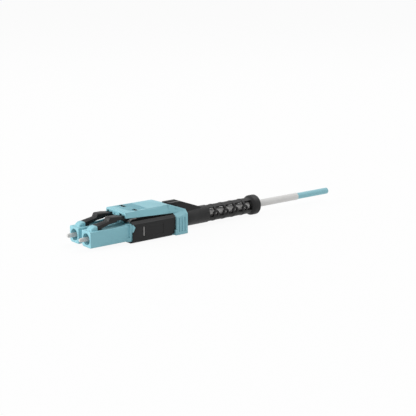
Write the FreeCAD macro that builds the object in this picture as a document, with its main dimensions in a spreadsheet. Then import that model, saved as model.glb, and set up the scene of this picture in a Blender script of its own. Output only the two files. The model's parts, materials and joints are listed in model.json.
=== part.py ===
"""Duplex small-form fibre connector with one boot: two plugs, a pull cover and a strain-relief boot.

Frame: origin midway between the two ferrule axes, on the plugs' front faces; +X runs back along the
cable, +Z is up (the latch side), plug "a" is on -Y and plug "b" on +Y.  All sizes are millimetres.
"""
import FreeCAD, Part
import math
import os
import re
import Sketcher

V = FreeCAD.Vector
doc = FreeCAD.newDocument("duplex_connector")

# ---------------------------------------------------------------- driving sizes
SIZES = {
    # plugs
    "plug_pitch": 6.25, "plug_side": 4.52, "plug_edge": 0.3, "plug_lower_round": 0.9,
    "nose_bore": 3.3, "nose_depth": 2.6, "seat_hole": 2.4, "seat_end": 4.4, "spring_chamber": 3.0,
    "bump_start": 0.8, "bump_end": 2.88, "bump_top": 3.42, "bump_wide": 2.7,
    "recess_floor": 1.8, "recess_wide": 2.9, "recess_end": 13.5,
    "flange_start": 12.6, "flange_end": 13.5, "flange_wide": 5.64, "flange_top": 2.75,
    "flange_low": 2.42, "flare_start": 8.5,
    "tail_side": 4.1, "tail_end": 16.35, "tail_lock": 0.7, "tail_rim": 0.22,
    "key_reach": 14.2, "key_low": 0.3, "key_mid": 1.6, "key_high": 2.45, "key_proud": 0.36,
    "key_gap": 0.06,
    "gusset_start": 11.7, "gusset_high": 1.3,
    # ferrules and what floats with them
    "ferrule_bore": 1.25, "ferrule_tip": 2.24, "ferrule_long": 6.5, "tip_flat": 0.86, "tip_cone": 0.9,
    "barrel_bore": 2.3, "barrel_start": 2.85, "collar_bore": 2.8, "collar_start": 4.48,
    "collar_end": 5.3, "stem_bore": 1.7, "stem_end": 8.0, "fibre_hole": 1.02,
    "spring_mean": 2.25, "spring_wire": 0.34, "spring_turns": 6, "stop_start": 10.4,
    "stop_head": 3.4, "stop_head_end": 18.0, "stop_hole": 2.0,
    # latches
    "pivot_x": 3.6, "pivot_z": 1.8, "pin_bore": 0.55, "pin_gap": 0.03, "pin_out": 1.75,
    "latch_wide": 2.5, "root_front": 2.98, "root_low": 1.5, "root_gap": 0.1, "root_end": 4.3,
    "root_seat_end": 4.42, "root_top": 3.38, "arm_top": 4.02, "lug_front": 6.55, "lug_peak": 7.1,
    "lug_top": 5.18, "lug_round": 0.45, "lug_flat_end": 9.3, "neck_end": 12.05, "neck_top": 4.86,
    "tail_wide": 1.9, "cam_gap": 0.07, "latch_end": 17.15, "tail_thick": 0.72,
    # holder
    "holder_wide": 12.8, "holder_low": 2.8, "holder_side_top": 2.5, "holder_top": 3.05,
    "holder_rim": 0.8, "holder_front": 13.2, "lip_front": 12.5, "holder_end": 28.1,
    "tray_gap": 0.025, "floor_top": 2.15, "flange_gap": 0.005, "mouth_end": 14.4,
    "saddle_end": 15.55, "saddle_top": 2.2, "rear_wall": 26.5, "spigot_end": 29.4,
    "spigot_step": 0.7, "spigot_low": 2.2, "spigot_top": 2.6,
    "rail_front": 13.9, "rail_end": 27.6, "rail_in": 4.15, "rail_out": 4.42, "rail_lap": 0.1,
    "slot_start": 16.6, "slot_end": 17.35, "slot_low": 1.3, "slot_high": 1.5,
    "field_start": 17.7, "field_end": 23.8, "field_low": 1.45, "field_high": 1.4, "field_deep": 0.08,
    # retainer
    "retainer_end": 18.2, "retainer_low": 2.33, "retainer_top": 2.85, "ear_start": 13.1,
    "ear_top": 4.0, "ear_thick": 0.5, "arm_thick": 0.23, "retainer_arm_start": 16.45,
    "tab_gap": 0.05, "tab_back": 0.12,
    # pull cover and its ring
    "cover_front": 11.8, "cover_front_wide": 9.6, "cover_front_top": 5.83, "skirt_front": 4.32,
    "skirt_wide": 10.24, "crest_x": 27.0, "crest_wide": 8.14, "crest_top": 5.99, "skirt_rear": 3.45,
    "ring_front": 28.1, "ring_end": 32.1, "ring_wide": 13.8, "ring_low": 2.8,
    "ring_side_front": 2.4, "ring_side_rear": 3.05, "ring_slope_y": 5.75, "ring_top": 4.2,
    "roof_under": 5.15, "front_wall": 0.5, "side_wall": 0.5, "cam_thick": 0.5, "cam_low": 4.05,
    "arch_wide": 2.75, "arch_top": 5.25, "tongue_low": 4.4,
    "ring_gap": 0.3, "ring_cavity_low": 2.35, "ring_cavity_top": 2.9, "ring_back": 30.9,
    "neck_hole": 4.6, "boot_slot_wide": 3.9, "boot_slot_front": 29.75,
    "lip_reach": 26.9, "step_reach": 27.7, "step_top": 1.2, "rib_first": 29.0, "rib_pitch": 1.0,
    "rib_cut": 0.36, "rib_deep": 0.22, "rib_high": 2.2, "rib_low": 1.9, "rib_count": 3,
    "window_front": 15.65, "window_end": 16.8, "window_wide": 2.45,
    "panel_front": 14.1, "panel_end": 20.0, "panel_deep": 0.1, "panel_ribs": 9, "panel_pitch": 0.9,
    "panel_cut": 0.5, "slide_travel": 2.5, "latch_turn": 5.2,
    # boot
    "boot_front": 29.7, "flange_back": 30.8, "boot_flange_wide": 8.4, "boot_flange_low": 2.1,
    "boot_flange_top": 2.6, "boot_neck": 4.4, "tube_start": 32.2, "boot_tube": 5.3,
    "boot_bore": 3.7, "boot_bore_end": 37.5, "sleeve_hole": 2.5, "shoulder_front": 29.9,
    "shoulder_top": 5.3, "shoulder_wide": 3.5, "shoulder_end": 34.3, "blend_end": 41.6,
    "blend_wide": 2.2, "blend_top": 2.6, "shoulder_groove": 0.9, "groove_deep": 0.45,
    "cage_start": 43.9, "cage_body": 45.4, "cage_end": 59.6, "cage_tube": 4.96, "cage_inside": 3.9,
    "cage_high": 1.8, "hoop_first": 46.35, "hoop_pitch": 3.79, "hoop_count": 4, "hoop_thick": 1.44,
    "hoop_outer": 5.36, "eye_outer": 3.1, "eye_hole": 1.15, "eye_out": 2.72,
    "bar_pad_wide": 1.9, "bar_pad_top": 2.62, "bar_pad_gap": 0.15,
    "collar_ring": 6.24, "collar_from": 60.3, "boot_end": 63.7, "collar_round": 0.8,
    "collar_foot": 5.2,
    # cable end
    "post_front": 25.7, "post_head": 4.2, "post_body": 3.05, "post_shank": 2.6, "post_end": 34.0,
    "post_bore": 1.96, "jacket_start": 31.2, "jacket_hole": 2.06, "crimp_inner": 2.66,
    "crimp_outer": 3.3, "crimp_start": 29.6, "crimp_end": 34.4,
    "cable_bore": 2.0, "cable_end": 95.75, "shrink_start": 34.6, "shrink_outer": 2.25,
    "shrink_inner": 2.04, "shrink_end": 81.95,
    "buffer_bore": 0.9, "buffer_start": 5.5, "buffer_bend": 18.6, "buffer_meet": 23.2,
    "buffer_end": 31.0, "buffer_gap": 1.0,
}
sheet = doc.addObject("Spreadsheet::Sheet", "Sizes")
for row, (name, value) in enumerate(SIZES.items(), 1):
    sheet.set(f"A{row}", name)
    sheet.set(f"B{row}", str(value))
    sheet.setAlias(f"B{row}", name)
doc.recompute()

PREFIX = {name: "Sizes." + name for name in SIZES}
SIDES = (("a", -1), ("b", 1))


def size(name):
    """Value of one cell of the sheet."""
    return float(getattr(sheet, name))


def bound(text):
    """Turn plain size names in a formula into references to the sheet."""
    return re.sub(r"[a-z][a-z_]*", lambda word: PREFIX.get(word[0], word[0]), text)


# ---------------------------------------------------------------- helpers for bodies and sketches
def new_body(label, base_y="0"):
    body = doc.addObject("PartDesign::Body", label)
    body.Label = label
    body.setExpression("Placement.Base.y", bound(base_y))
    return body


def new_sketch(body, role, offset="0"):
    """Sketch on one of the body's own origin planes, moved along the plane's normal."""
    sketch = body.newObject("Sketcher::SketchObject", "profile")
    plane = next(item for item in body.Origin.OriginFeatures if item.Role == role)
    sketch.AttachmentSupport = [(plane, "")]
    sketch.MapMode = "FlatFace"
    sketch.setExpression("AttachmentOffset.Base.z", bound(offset))
    return sketch


def polygon(sketch, corners):
    """Closed outline of straight lines through corners given as pairs of formulas."""
    first = sketch.GeometryCount
    texts = [(bound(x), bound(y)) for x, y in corners]
    points = [V(float(sketch.evalExpression(x)), float(sketch.evalExpression(y)), 0) for x, y in texts]
    count = len(points)
    for index in range(count):
        sketch.addGeometry(Part.LineSegment(points[index], points[(index + 1) % count]), False)
    for index in range(count):
        ends = (first + index, 2, first + (index + 1) % count, 1)
        sketch.addConstraint(Sketcher.Constraint("Coincident", *ends))
    for index, (x_text, y_text) in enumerate(texts):
        for kind, axis, text, value in (("DistanceX", -2, x_text, points[index].x),
                                        ("DistanceY", -1, y_text, points[index].y)):
            if text == "0":
                sketch.addConstraint(Sketcher.Constraint("PointOnObject", first + index, 1, axis))
            else:
                number = sketch.addConstraint(Sketcher.Constraint(kind, -1, 1, first + index, 1, value))
                sketch.setExpression(f"Constraints[{number}]", text)
    return sketch


def rectangle(sketch, x_low, x_high, y_low, y_high):
    return polygon(sketch, [(x_low, y_low), (x_high, y_low), (x_high, y_high), (x_low, y_high)])


def circle(sketch, x_text, y_text, diameter):
    index = sketch.GeometryCount
    values = [float(sketch.evalExpression(bound(text))) for text in (x_text, y_text, diameter)]
    sketch.addGeometry(Part.Circle(V(values[0], values[1], 0), V(0, 0, 1), values[2] / 2), False)
    rows = [("Diameter", (index,), diameter, values[2])]
    for kind, axis, text, value in (("DistanceX", -2, x_text, values[0]),
                                    ("DistanceY", -1, y_text, values[1])):
        if text == "0":
            sketch.addConstraint(Sketcher.Constraint("PointOnObject", index, 3, axis))
        else:
            rows.append((kind, (-1, 1, index, 3), text, value))
    for kind, target, text, value in rows:
        number = sketch.addConstraint(Sketcher.Constraint(kind, *target, value))
        sketch.setExpression(f"Constraints[{number}]", bound(text))
    return sketch


def feature(body, kind, sketch, **settings):
    """Add a sketch-based feature and check that it really added or removed material."""
    before = body.Shape.Volume if body.Tip else 0
    item = body.newObject("PartDesign::" + kind, kind.lower())
    item.Profile = sketch
    for name, setting in settings.items():
        if isinstance(setting, str) and name in ("Length", "Length2", "Angle"):
            item.setExpression(name, bound(setting))
        else:
            setattr(item, name, setting)
    doc.recompute()
    after = body.Shape.Volume
    adds = kind in ("Pad", "Revolution", "AdditiveLoft")
    if (after - before) * (1 if adds else -1) <= 1e-6:
        raise RuntimeError(f"{body.Label}: {kind} changed nothing ({before:.3f} to {after:.3f})")
    return item


def pad(body, sketch, length, both=False):
    return feature(body, "Pad", sketch, Length=length, Midplane=both)


def pocket(body, sketch, length, both=False, back=True):
    return feature(body, "Pocket", sketch, Length=length, Midplane=both, Reversed=back)


def blocks(body, x_low, x_high, boxes, cut=False):
    """Bars along X with the same ends, each a (y_low, y_high, z_low, z_high), added or cut at once."""
    sketch = new_sketch(body, "YZ_Plane", x_low)
    for box in boxes:
        rectangle(sketch, *box)
    make = pocket if cut else pad
    return make(body, sketch, f"({x_high}) - ({x_low})")


def block(body, x_low, x_high, y_low, y_high, z_low, z_high, cut=False):
    return blocks(body, x_low, x_high, [(y_low, y_high, z_low, z_high)], cut)


def pair(body, x_low, x_high, inner, outer, z_low, z_high, cut=False):
    """The same bar on both sides of the middle plane."""
    boxes = [(inner, outer, z_low, z_high), (f"-({outer})", f"-({inner})", z_low, z_high)]
    return blocks(body, x_low, x_high, boxes, cut)


def drill(body, x_low, x_high, diameter, y="0", z="0"):
    sketch = circle(new_sketch(body, "YZ_Plane", x_low), y, z, diameter)
    return pocket(body, sketch, f"({x_high}) - ({x_low})")


def turned(body, corners):
    """Solid of revolution about X from corners given as (x, radius)."""
    sketch = polygon(new_sketch(body, "XZ_Plane"), corners)
    return feature(body, "Revolution", sketch, ReferenceAxis=(sketch, ["H_Axis"]), Angle=360.0)


def loft(body, sections, cut=False):
    """Ruled solid through cross sections, each an X place and a list of (y, z) corners."""
    sketches = [polygon(new_sketch(body, "YZ_Plane", place), corners) for place, corners in sections]
    kind = "SubtractiveLoft" if cut else "AdditiveLoft"
    return feature(body, kind, sketches[0], Sections=sketches[1:], Ruled=True)


def edges_where(body, test):
    """Names of the edges whose middle point and direction pass a test."""
    names = []
    for index, edge in enumerate(body.Tip.Shape.Edges, 1):
        middle = edge.valueAt((edge.FirstParameter + edge.LastParameter) / 2)
        run = edge.lastVertex().Point - edge.firstVertex().Point
        if run.Length > 1e-6 and test(middle, run.normalize()):
            names.append(f"Edge{index}")
    return names


def soften(body, kind, amount, test):
    """Fillet or chamfer the edges that pass a test."""
    doc.recompute()
    names = edges_where(body, test)
    base = body.Tip
    item = body.newObject("PartDesign::" + kind, kind.lower())
    item.Base = (base, names)
    item.setExpression("Radius" if kind == "Fillet" else "Size", bound(amount))
    doc.recompute()
    return item


def near(value, target, slack=0.02):
    return abs(value - target) < slack


# ---------------------------------------------------------------- plug housings (moulded, aqua)
def plug_housing(side, sign):
    """Square nose with a round bore, a latch recess on top and a flange keyed into the holder."""
    body = new_body(f"plug_housing_{side}", f"{sign} * plug_pitch / 2")
    half = "plug_side / 2"
    block(body, "0", "flange_end", f"-{half}", half, f"-{half}", half)
    corner = size("plug_side") / 2
    soften(body, "Fillet", "plug_lower_round",
           lambda at, run: near(at.y, corner) and near(at.z, -corner) and abs(run.x) > 0.9)
    soften(body, "Fillet", "plug_edge",
           lambda at, run: abs(run.x) > 0.9 and (near(at.y, -corner) or at.z > 0))
    # the cheeks rise a little toward the flange
    flare = polygon(new_sketch(body, "XZ_Plane"), [
        ("flare_start", half), ("flange_start", "flange_top"), ("flange_start", "0"), ("flare_start", "0")])
    pad(body, flare, "plug_side - 2 * plug_edge", both=True)
    block(body, "flange_start", "flange_end", "-flange_wide / 2", "flange_wide / 2",
          "-flange_low", "flange_top")
    soften(body, "Fillet", "plug_edge",
           lambda at, run: abs(run.x) > 0.9 and near(abs(at.y), size("flange_wide") / 2))
    # gusset at the lower outer corner, running out to the flange
    gusset = polygon(new_sketch(body, "XY_Plane", "-flange_low + 0.1"), [
        ("gusset_start", f"{sign} * {half} * 0.8"), ("gusset_start", f"{sign} * {half}"),
        ("flange_start", f"{sign} * flange_wide / 2"), ("flange_start", f"{sign} * {half} * 0.8")])
    pad(body, gusset, "flange_low - gusset_high")
    # tail inside the holder, with a rim behind the saddle wall
    tail = "tail_side / 2"
    block(body, "flange_end", "tail_end", f"-{tail}", tail, f"-{tail}", tail)
    rim = f"({tail} + tail_rim)"
    block(body, "tail_end - tail_lock", "tail_end", f"-{tail}", tail, f"-{tail}", rim)
    # pointed key that seats in the notch of the holder's side wall
    key = polygon(new_sketch(body, "XZ_Plane", f"-{sign} * (flange_wide / 2 - 0.3)"), [
        ("flange_end - 0.3", "key_low"), ("flange_end", "key_low"), ("key_reach", "key_mid"),
        ("flange_end", "key_high"), ("flange_end - 0.3", "key_high")])
    feature(body, "Pad", key, Length="key_proud + 0.3", Reversed=sign > 0)
    # guide bump in front of the latch root
    bump = polygon(new_sketch(body, "XZ_Plane"), [
        ("bump_start", half), ("bump_start + 0.35", f"{half} + (bump_top - {half}) * 0.5"),
        ("bump_start + 0.95", f"{half} + (bump_top - {half}) * 0.88"), ("bump_start + 1.6", "bump_top"),
        ("bump_end", "bump_top"), ("bump_end", half)])
    pad(body, bump, "bump_wide", both=True)
    bump_side = size("bump_wide") / 2
    soften(body, "Fillet", "plug_edge * 1.5",
           lambda at, run: at.z > corner + 0.1 and near(abs(at.y), bump_side) and abs(run.x) > 0.5)
    block(body, "bump_end", "recess_end", "-recess_wide / 2", "recess_wide / 2", "recess_floor",
          "flange_top + 0.1", cut=True)
    # through bore in three steps: open nose, ferrule seat, spring chamber
    drill(body, "0", "tail_end", "seat_hole")
    drill(body, "0", "nose_depth", "nose_bore")
    drill(body, "seat_end", "tail_end", "spring_chamber")
    # deeper seat for the latch root, with a blind hole for its pivot pin in each cheek
    block(body, "bump_end", "root_seat_end", "-recess_wide / 2", "recess_wide / 2", "root_low - root_gap",
          "plug_side / 2 + 0.1", cut=True)
    pocket(body, circle(new_sketch(body, "XZ_Plane"), "pivot_x", "pivot_z", "pin_bore + 2 * pin_gap"),
           "2 * pin_out + 0.2", both=True)
    return body


# ---------------------------------------------------------------- ferrule trains (turned parts)
def ferrule(side, sign):
    """Ceramic pin with a coned tip and a lead-in funnel at the back."""
    body = new_body(f"ferrule_{side}", f"{sign} * plug_pitch / 2")
    back = "ferrule_long - ferrule_tip"
    turned(body, [
        ("-ferrule_tip", "0"), ("-ferrule_tip", "tip_flat / 2"),
        ("tip_cone - ferrule_tip", "ferrule_bore / 2"),
        (back, "ferrule_bore / 2"), (back, "ferrule_bore / 4"), (f"{back} - 0.6", "0")])
    return body


def ferrule_holder(side, sign):
    """Metal barrel pressed on the ferrule, with the collar that the spring pushes on."""
    body = new_body(f"ferrule_holder_{side}", f"{sign} * plug_pitch / 2")
    back = "ferrule_long - ferrule_tip"
    turned(body, [
        ("barrel_start", "ferrule_bore / 2"), ("barrel_start", "barrel_bore / 2 - 0.15"),
        ("barrel_start + 0.15", "barrel_bore / 2"), ("collar_start", "barrel_bore / 2"),
        ("collar_start", "collar_bore / 2"), ("collar_end", "collar_bore / 2"),
        ("collar_end", "stem_bore / 2"), ("stem_end", "stem_bore / 2"), ("stem_end", "fibre_hole / 2"),
        (back, "fibre_hole / 2"), (back, "ferrule_bore / 2")])
    return body


def spring_stop(side, sign):
    """Tube pushed into the back of the plug, closing the spring chamber."""
    body = new_body(f"spring_stop_{side}", f"{sign} * plug_pitch / 2")
    turned(body, [
        ("stop_start", "stop_hole / 2"), ("stop_start", "spring_chamber / 2 - 0.04"),
        ("tail_end", "spring_chamber / 2 - 0.04"), ("tail_end", "stop_head / 2"),
        ("stop_head_end", "stop_head / 2"), ("stop_head_end", "stop_hole / 2")])
    return body


def ferrule_spring(side, sign):
    """Compression coil between the collar and the spring stop."""
    wire = "Sizes.spring_wire"
    coil = doc.addObject("Part::Helix", f"coil_{side}")
    coil.setExpression("Radius", "Sizes.spring_mean / 2")
    coil.setExpression("Height", f"Sizes.stop_start - Sizes.collar_end - {wire}")
    coil.setExpression("Pitch", f"(Sizes.stop_start - Sizes.collar_end - {wire}) / Sizes.spring_turns")
    section = doc.addObject("Part::Circle", f"wire_{side}")
    section.setExpression("Radius", f"{wire} / 2")
    section.Placement = FreeCAD.Placement(V(), FreeCAD.Rotation(V(1, 0, 0), 90))
    section.setExpression("Placement.Base.x", "Sizes.spring_mean / 2")
    spring = doc.addObject("Part::Sweep", f"ferrule_spring_{side}")
    spring.Sections = [section]
    doc.recompute()
    spring.Spine = (coil, [f"Edge{number + 1}" for number in range(len(coil.Shape.Edges))])
    spring.Solid = True
    spring.Frenet = True
    spring.Label = f"ferrule_spring_{side}"
    spring.Placement = FreeCAD.Placement(V(), FreeCAD.Rotation(V(0, 1, 0), 90))
    spring.setExpression("Placement.Base.x", f"Sizes.collar_end + {wire} / 2")
    spring.setExpression("Placement.Base.y", f"{sign} * Sizes.plug_pitch / 2")
    return spring


def fibre_buffer(side, sign):
    """Buffered fibre: straight through the plug, then eased inward to the cable post."""
    outer = sign * size("plug_pitch") / 2
    inner = sign * size("buffer_gap") / 2
    places = [V(size("buffer_start"), outer, 0), V(size("buffer_bend"), outer, 0),
              V(size("buffer_meet"), inner, 0), V(size("buffer_end"), inner, 0)]
    edges = []
    start = places[0]
    for before, corner, after in zip(places, places[1:], places[2:]):
        into, out = (corner - before).normalize(), (after - corner).normalize()
        reach = 0.45 * min((corner - before).Length, (after - corner).Length)
        bend = into.getAngle(out) / 2
        radius = reach / math.tan(bend)
        centre = corner + (out - into).normalize() * (radius / math.cos(bend))
        middle = centre + (corner - centre).normalize() * radius
        print(f"fibre_buffer_{side}: bend radius {radius:.1f} mm")
        edges += [Part.LineSegment(start, corner - into * reach).toShape(),
                  Part.Arc(corner - into * reach, middle, corner + out * reach).toShape()]
        start = corner + out * reach
    edges.append(Part.LineSegment(start, places[-1]).toShape())
    ring = Part.Wire(Part.Circle(places[0], V(1, 0, 0), size("buffer_bore") / 2).toShape())
    buffer = doc.addObject("Part::Feature", f"fibre_buffer_{side}")
    buffer.Label = f"fibre_buffer_{side}"
    buffer.Shape = Part.Wire(edges).makePipeShell([ring], True, True)
    return buffer


# ---------------------------------------------------------------- latches (moulded, black)
def cam_ramp(steps):
    """Corners of the tail's ramp, as (x, z) at rest, that follow the cover's cam edge all the way.

    The cam edge moves back in equal steps while the latch turns down in equal steps about its pins;
    turning each place back by the latch's angle gives the ramp in the latch's rest position.
    """
    pivot = V(size("pivot_x"), 0, size("pivot_z"))
    edge = V(size("cover_front") + size("front_wall") + size("cam_thick"), 0, size("cam_low"))
    corners = []
    for step in range(steps + 1):
        share = step / steps
        turn = FreeCAD.Rotation(V(0, 1, 0), -size("latch_turn") * share)
        place = pivot + turn.multVec(edge + V(size("slide_travel") * share, 0, 0) - pivot)
        corners.append((place.x, place.z - size("cam_gap")))
    return corners


def latch(side, sign):
    """Lever from the pivot root over the lug to a tail with a cam ramp under the cover."""
    body = new_body(f"latch_{side}", f"{sign} * plug_pitch / 2")
    arm = polygon(new_sketch(body, "XZ_Plane"), [
        ("root_front", "root_low"), ("root_end", "root_low"), ("root_end", "root_top - 0.82"),
        ("lug_front + 0.2", "arm_top - 0.65"), ("lug_flat_end - 0.3", "arm_top - 0.22"),
        ("lug_flat_end + 0.35", "neck_top - 0.74"), ("neck_end", "neck_top - 0.74"),
        ("neck_end", "neck_top"), ("lug_flat_end", "lug_top"), ("lug_peak", "lug_top"),
        ("lug_front", "arm_top"), ("root_front", "root_top")])
    pad(body, arm, "latch_wide", both=True)
    soften(body, "Fillet", "lug_round",
           lambda at, run: at.z > size("arm_top") + 0.2 and at.x > size("lug_peak") and abs(run.x) > 0.9)
    ramp = [(f"{x:.5f}", f"{z:.5f}") for x, z in cam_ramp(4)]
    under = [(x, f"{z} - tail_thick") for x, z in (ramp[0], ramp[-1])]
    top = ramp[-1][1]
    tail = polygon(new_sketch(body, "XZ_Plane"), [
        ("neck_end - 0.9", "neck_top - 0.74"), ("neck_end - 0.1", under[0][1]), under[0], under[1],
        ("latch_end", f"{top} - tail_thick"), ("latch_end", top), *reversed(ramp),
        ("neck_end", ramp[0][1]), ("neck_end", "neck_top - 0.3"), ("neck_end - 0.9", "neck_top - 0.3")])
    pad(body, tail, "tail_wide", both=True)
    pins = circle(new_sketch(body, "XZ_Plane"), "pivot_x", "pivot_z", "pin_bore")
    pad(body, pins, "2 * pin_out", both=True)
    return body


# ---------------------------------------------------------------- holder (moulded, black)
def holder():
    """Open tray that carries both plugs, the retainer and the cable post."""
    body = new_body("holder")
    wide, rim = "holder_wide / 2", "(holder_wide / 2 - holder_rim)"
    mouth = "(plug_pitch / 2 + flange_wide / 2 + flange_gap)"
    tray = "(plug_pitch / 2 + tail_side / 2 + tray_gap)"
    shell = polygon(new_sketch(body, "YZ_Plane", "lip_front"), [
        (f"-{wide}", "-holder_low + 0.3"), (f"-{wide} + 0.3", "-holder_low"),
        (f"{wide} - 0.3", "-holder_low"), (wide, "-holder_low + 0.3"), (wide, "holder_side_top"),
        (rim, "holder_top"), (f"-{rim}", "holder_top"), (f"-{wide}", "holder_side_top")])
    pad(body, shell, "holder_end - lip_front")
    # the side walls start behind the lip and dip back round the plugs' keys
    edge = [("lip_front - 1", "-holder_low + 0.32"), ("holder_front", "-holder_low + 0.32"),
            ("holder_front", "key_low"), ("flange_end + key_gap", "key_low"),
            ("key_reach + key_gap", "key_mid"), ("flange_end + key_gap", "holder_side_top"),
            ("lip_front", "holder_top + 0.05"), ("lip_front - 1", "holder_top + 0.05")]
    for sign in (-1, 1):
        side = polygon(new_sketch(body, "XZ_Plane", f"{-sign} * ({tray} + 0.1)"), edge)
        pocket(body, side, "holder_wide / 2", back=sign < 0)
    # hollow: wide at the mouth for the plug flanges, then the tray itself
    block(body, "lip_front", "mouth_end", f"-{mouth}", mouth, "-holder_low + 0.32",
          "holder_top + 0.1", cut=True)
    block(body, "saddle_end", "rear_wall", f"-{tray}", tray, "-floor_top", "holder_top + 0.1", cut=True)
    block(body, "mouth_end - 0.1", "saddle_end + 0.1", f"-{tray}", tray, "saddle_top",
          "holder_top + 0.1", cut=True)
    gap = "(tail_side / 2 + 0.05)"
    pair(body, "mouth_end - 0.1", "saddle_end + 0.1", f"plug_pitch / 2 - {gap}", f"plug_pitch / 2 + {gap}",
         f"-{gap}", "holder_top", cut=True)
    # guide rails that close the gap under the hood's skirt and steer it
    for start, low in (("rail_front", "retainer_top + 0.1"), ("retainer_end + 0.1", "-floor_top - 0.1")):
        pair(body, start, "rail_end", "rail_in", "rail_out", low, "skirt_rear + rail_lap")
    rise = polygon(new_sketch(body, "XZ_Plane"), [
        ("rail_front", "skirt_rear + rail_lap - 0.1"), ("rail_end", "skirt_rear + rail_lap - 0.1"),
        ("rail_end", "skirt_rear + rail_lap"), ("rail_front", "skirt_front + rail_lap")])
    pad(body, rise, "2 * rail_out", both=True)
    block(body, "rail_front - 0.1", "rail_end + 0.1", "-rail_in", "rail_in",
          "skirt_rear + rail_lap - 0.2", "skirt_front + 1", cut=True)
    # spigot inside the cover's ring, and the seat of the cable post
    spigot = "(holder_wide / 2 - spigot_step)"
    block(body, "holder_end", "spigot_end", f"-{spigot}", spigot, "-spigot_low", "spigot_top")
    drill(body, "rear_wall", "spigot_end", "post_body + 0.04")
    # relief for the forward lip and steps of the ring
    block(body, "lip_reach - 0.12", "holder_end", "-holder_wide / 2 - 1", "holder_wide / 2 + 1",
          "-holder_low - 1", "-ring_cavity_low + 0.1", cut=True)
    pair(body, "step_reach - 0.1", "holder_end", f"{spigot} + ring_gap - 0.1", "holder_wide / 2 + 1",
         "-holder_low - 1", "-step_top + 0.1", cut=True)
    # slots for the retainer's tabs and the shallow bare field on each side
    slot = rectangle(new_sketch(body, "XZ_Plane"), "slot_start", "slot_end", "-slot_low", "slot_high")
    pocket(body, slot, "holder_wide + 1", both=True)
    for sign in (-1, 1):
        field = rectangle(new_sketch(body, "XZ_Plane", f"{-sign} * (holder_wide / 2 - field_deep)"),
                          "field_start", "field_end", "-field_low", "field_high")
        pocket(body, field, "1", back=sign < 0)
    return body


def retainer():
    """Pale frame pressed over the plug tails; its tabs snap into the holder's side slots."""
    body = new_body("retainer")
    outer = "(plug_pitch / 2 + tail_side / 2 + tray_gap - tab_gap)"
    arm = f"{outer} - arm_thick"
    block(body, "mouth_end + 0.2", "retainer_end", f"-{outer}", outer, "retainer_low", "retainer_top")
    pair(body, "ear_start", "mouth_end + 0.9", f"{outer} - ear_thick", outer, "flange_top + tab_gap",
         "ear_top")
    # arms down the tray's walls behind the plug tails, with a tab in each slot
    pair(body, "retainer_arm_start", "retainer_end", arm, outer, "-slot_low + tab_gap", "retainer_top")
    pair(body, "slot_start + tab_gap", "slot_end - tab_gap", arm, "holder_wide / 2 - tab_back",
         "-slot_low + tab_gap", "slot_high - tab_gap")
    return body


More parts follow.
